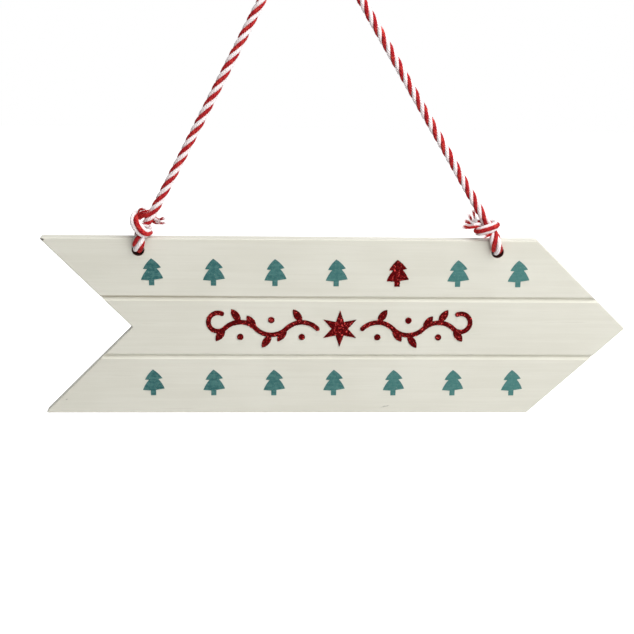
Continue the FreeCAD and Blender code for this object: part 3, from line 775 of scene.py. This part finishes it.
def fray_tree(red, white):
    """Fibres round each guide, close at the root and apart at the tip."""
    sizes = {"Fibres": "Int", "Fibre Radius": "Float", "Root": "Float", "Spread": "Float", "Seed": "Int"}
    tree, given, identifiers = node_tree("frayed_strands", sizes)
    sampled = {"Curve": given["Geometry"], "Count": FRAY_SAMPLES}
    sampled = add(tree, "GeometryNodeResampleCurve", sampled, mode="COUNT").outputs["Curve"]
    index = add(tree, "GeometryNodeInputIndex").outputs["Index"]
    marked = store(tree, sampled, "strand", index, "INT", "CURVE")
    copies = {"Geometry": marked, "Amount": given["Fibres"]}
    copies = add(tree, "GeometryNodeDuplicateElements", copies, domain="SPLINE").outputs["Geometry"]
    numbered = store(tree, copies, "fibre", index, "INT", "CURVE")
    cut = {"Curve": numbered, "End": random_value(tree, FRAY_CUT, 1.0, 9)}
    numbered = add(tree, "GeometryNodeTrimCurve", cut, mode="FACTOR").outputs["Curve"]

    ones, minus = (1.0, 1.0, 1.0), (-1.0, -1.0, -1.0)
    aside = random_value(tree, minus, ones, given["Seed"], "FLOAT_VECTOR")
    tree.links.new(recall(tree, "fibre", "INT"), aside.node.inputs["ID"])
    reach = add(tree, "GeometryNodeSplineParameter").outputs["Factor"]
    opening = maths(tree, "MULTIPLY", maths(tree, "POWER", reach, FRAY_OPENING), given["Spread"])
    opening = maths(tree, "ADD", opening, given["Root"])
    curl = {
        "Vector": add(tree, "GeometryNodeInputPosition").outputs["Position"],
        "Scale": CURLS_PER_METRE,
        "W": maths(tree, "MULTIPLY", recall(tree, "fibre", "INT"), CURL_PER_FIBRE),
    }
    curl = add(tree, "ShaderNodeTexNoise", curl, noise_dimensions="4D").outputs["Color"]
    centred = {0: curl, 1: (0.5, 0.5, 0.5)}
    centred = add(tree, "ShaderNodeVectorMath", centred, operation="SUBTRACT").outputs["Vector"]
    swing = maths(tree, "MULTIPLY", reach, maths(tree, "MULTIPLY", given["Spread"], CURL_REACH))
    waver = scale_vector(tree, centred, swing)
    moved = {0: scale_vector(tree, aside, opening), 1: waver}
    moved = add(tree, "ShaderNodeVectorMath", moved, operation="ADD").outputs["Vector"]
    loose = {"Geometry": numbered, "Offset": moved}
    loose = add(tree, "GeometryNodeSetPosition", loose).outputs["Geometry"]

    thread = {"Resolution": 4, "Radius": given["Fibre Radius"]}
    thread = add(tree, "GeometryNodeCurvePrimitiveCircle", thread, mode="RADIUS").outputs["Curve"]
    taper = between(tree, reach, 0.0, 1.0, 1.0, FIBRE_TAPER)
    swept = {"Curve": loose, "Profile Curve": thread, "Scale": taper, "Fill Caps": True}
    mesh = add(tree, "GeometryNodeCurveToMesh", swept).outputs["Mesh"]
    mesh = store(tree, mesh, "yarn_height", random_value(tree, 0.5, 1.0, 8))
    mesh = add(tree, "GeometryNodeSetShadeSmooth", {"Geometry": mesh}).outputs["Geometry"]
    finish_tree(tree, mesh, (white, None), (red, is_red(tree)))
    return tree, identifiers


frayed_strands, fray_inputs = fray_tree(red_yarn, white_yarn)
for seed, (side, strands) in enumerate((("left", LEFT_ENDS), ("right", RIGHT_ENDS)), start=FRAY_SEED):
    guides = end_guides(side + "_end_guides", strands)
    fray_sizes = {
        "Fibres": FIBRES,
        "Fibre Radius": FIBRE_RADIUS,
        "Root": FRAY_ROOT,
        "Spread": FRAY_SPREAD,
        "Seed": seed,
    }
    frayed = plain_mesh(guides, frayed_strands, fray_inputs, fray_sizes, side + "_frayed_end")
    bpy.data.objects.remove(guides)
    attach(frayed, "root")


# The fuzz: short loose hairs of the spun cotton that stand off the whole cord.
# Each hair springs from a strand, leans its own way and has that strand's colour.

FUZZ_HAIRS_PER_M2 = 2.1e5
FUZZ_LENGTH = 1.3 * MM
FUZZ_RADIUS = 0.03 * MM
FUZZ_LEAN = math.radians(75)
FUZZ_SIZES = (0.35, 1.2)
FUZZ_SEED = 31
HAIR_SAMPLES = 4
HAIR_BEND = 0.45
HAIR_TAPER = 0.4


def fuzz_tree(red, white):
    """Bent tapered hairs strewn over the strands, each of its strand's colour."""
    sizes = {
        "Hairs per m2": "Float",
        "Hair Length": "Float",
        "Hair Radius": "Float",
        "Lean": "Float",
        "Seed": "Int",
    }
    tree, given, identifiers = node_tree("cord_hairs", sizes)
    strewn = {"Mesh": given["Geometry"], "Density": given["Hairs per m2"], "Seed": given["Seed"]}
    points = add(tree, "GeometryNodeDistributePointsOnFaces", strewn)

    line = add(tree, "GeometryNodeCurvePrimitiveLine", {"Start": (0.0, 0.0, 0.0), "End": (0.0, 0.0, 1.0)})
    line = {"Curve": line.outputs["Curve"], "Count": HAIR_SAMPLES}
    line = add(tree, "GeometryNodeResampleCurve", line, mode="COUNT").outputs["Curve"]
    reach = add(tree, "GeometryNodeSplineParameter").outputs["Factor"]
    bend = {"X": maths(tree, "MULTIPLY", maths(tree, "POWER", reach, 2.0), HAIR_BEND)}
    bent = {"Geometry": line, "Offset": add(tree, "ShaderNodeCombineXYZ", bend).outputs["Vector"]}
    bent = add(tree, "GeometryNodeSetPosition", bent).outputs["Geometry"]
    thread = {"Resolution": 3, "Radius": maths(tree, "DIVIDE", given["Hair Radius"], given["Hair Length"])}
    thread = add(tree, "GeometryNodeCurvePrimitiveCircle", thread, mode="RADIUS").outputs["Curve"]
    taper = between(tree, reach, 0.0, 1.0, 1.0, HAIR_TAPER)
    swept = {"Curve": bent, "Profile Curve": thread, "Scale": taper}
    hair = add(tree, "GeometryNodeCurveToMesh", swept).outputs["Mesh"]

    turned = lean_at_random(tree, points.outputs["Rotation"], given["Lean"])
    size = maths(tree, "MULTIPLY", given["Hair Length"], random_value(tree, *FUZZ_SIZES, 6))
    placed = {"Points": points.outputs["Points"], "Instance": hair, "Rotation": turned, "Scale": size}
    hairs = add(tree, "GeometryNodeInstanceOnPoints", placed).outputs["Instances"]
    hairs = store(tree, hairs, "yarn_height", random_value(tree, 0.5, 1.0, 8), domain="INSTANCE")
    finish_tree(tree, hairs, (white, None), (red, is_red(tree)))
    return tree, identifiers


cord_hairs, hair_inputs = fuzz_tree(red_yarn, white_yarn)
hair_sizes = {
    "Hairs per m2": FUZZ_HAIRS_PER_M2,
    "Hair Length": FUZZ_LENGTH,
    "Hair Radius": FUZZ_RADIUS,
    "Lean": FUZZ_LEAN,
    "Seed": FUZZ_SEED,
}
fuzz = plain_mesh(cord, cord_hairs, hair_inputs, hair_sizes, "cord_fuzz")
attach(fuzz, "root")

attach(cord, "root")
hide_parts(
    "hanging_cord",
    "left_hole_loop",
    "right_hole_loop",
    "left_knot",
    "right_knot",
    "left_tail",
    "right_tail",
)


# The studio: a white floor well below the hanging sign, a wide soft lamp before it at the right,
# a wider one overhead and one low behind, and a camera that looks down on the front from a little
# to the left.

FLOOR_DROP = 0.25
FLOOR_WIDTH = 6.0
FLOOR_COLOUR = (0.82, 0.82, 0.82, 1.0)
FLOOR_GLOW = 0.97
SKY_COLOUR = (1.0, 1.0, 1.0, 1.0)
SKY_LIGHT = 0.08
SKY_SEEN = 1.0
CAMERA_PLACE = Vector((-40.48, -865.85, -0.62)) * MM
CAMERA_LOOK = Vector((0.05597, 0.95705, -0.28445)).normalized()
CAMERA_ROLL = math.radians(1.17)
CAMERA_LENS = 74.90
SENSOR = 36.0
# Each lamp's place and width in metres, and its power in watts.
LAMPS = {
    "right": ((0.80, -1.15, 0.45), 1.3, 13.3),
    "overhead": ((0.45, -0.50, 1.05), 1.6, 25.0),
    "behind": ((0.60, 1.25, -0.45), 1.1, 14.0),
}
sign_centre = (board_low + board_high) / 2


def seen_directly(tree):
    """1 for a ray of the camera and for one that gloss or glass sends on."""
    ray = add(tree, "ShaderNodeLightPath").outputs
    seen = maths(tree, "ADD", ray["Is Camera Ray"], ray["Is Glossy Ray"])
    return maths(tree, "ADD", seen, ray["Is Transmission Ray"])


bpy.ops.mesh.primitive_plane_add(size=FLOOR_WIDTH, location=(0.0, 0.0, board_low.z - FLOOR_DROP))
floor = bpy.context.object
floor.name = "floor"
white_floor, floor_tree, floor_shader = new_finish(
    "white_floor", Base_Color=FLOOR_COLOUR, Roughness=0.9, Specular_IOR_Level=0.0
)
glow = {"Strength": maths(floor_tree, "MULTIPLY", seen_directly(floor_tree), FLOOR_GLOW)}
glow = add(floor_tree, "ShaderNodeEmission", glow).outputs["Emission"]
both = add(floor_tree, "ShaderNodeAddShader", {0: floor_shader.outputs["BSDF"], 1: glow})
floor_out = floor_tree.nodes["Material Output"]
floor_tree.links.new(both.outputs["Shader"], floor_out.inputs["Surface"])
floor.data.materials.append(white_floor)

for label, (place, size, power) in LAMPS.items():
    light = bpy.data.lights.new(label, "AREA")
    light.size = size
    light.energy = power
    lamp = bpy.data.objects.new(label, light)
    lamp.location = place
    lamp.rotation_euler = (sign_centre - Vector(place)).to_track_quat("-Z", "Y").to_euler()
    bpy.context.collection.objects.link(lamp)

world = bpy.data.worlds.new("studio")
bpy.context.scene.world = world
world.use_nodes = True
sky = world.node_tree
background = sky.nodes["Background"]
background.inputs["Color"].default_value = SKY_COLOUR
sky_strength = between(sky, seen_directly(sky), 0.0, 1.0, SKY_LIGHT, SKY_SEEN)
sky.links.new(sky_strength, background.inputs["Strength"])

right = CAMERA_LOOK.cross(Vector((0.0, 0.0, 1.0))).normalized()
above = right.cross(CAMERA_LOOK)
rolled_right = math.cos(CAMERA_ROLL) * right + math.sin(CAMERA_ROLL) * above
rolled_up = math.cos(CAMERA_ROLL) * above - math.sin(CAMERA_ROLL) * right
camera_data = bpy.data.cameras.new("camera")
camera_data.sensor_width = SENSOR
camera_data.lens = CAMERA_LENS
camera = bpy.data.objects.new("camera", camera_data)
turn = Matrix((rolled_right, rolled_up, -CAMERA_LOOK)).transposed()
camera.matrix_world = Matrix.Translation(CAMERA_PLACE) @ turn.to_4x4()
bpy.context.collection.objects.link(camera)
bpy.context.scene.camera = camera
bpy.context.scene.view_settings.view_transform = "Standard"
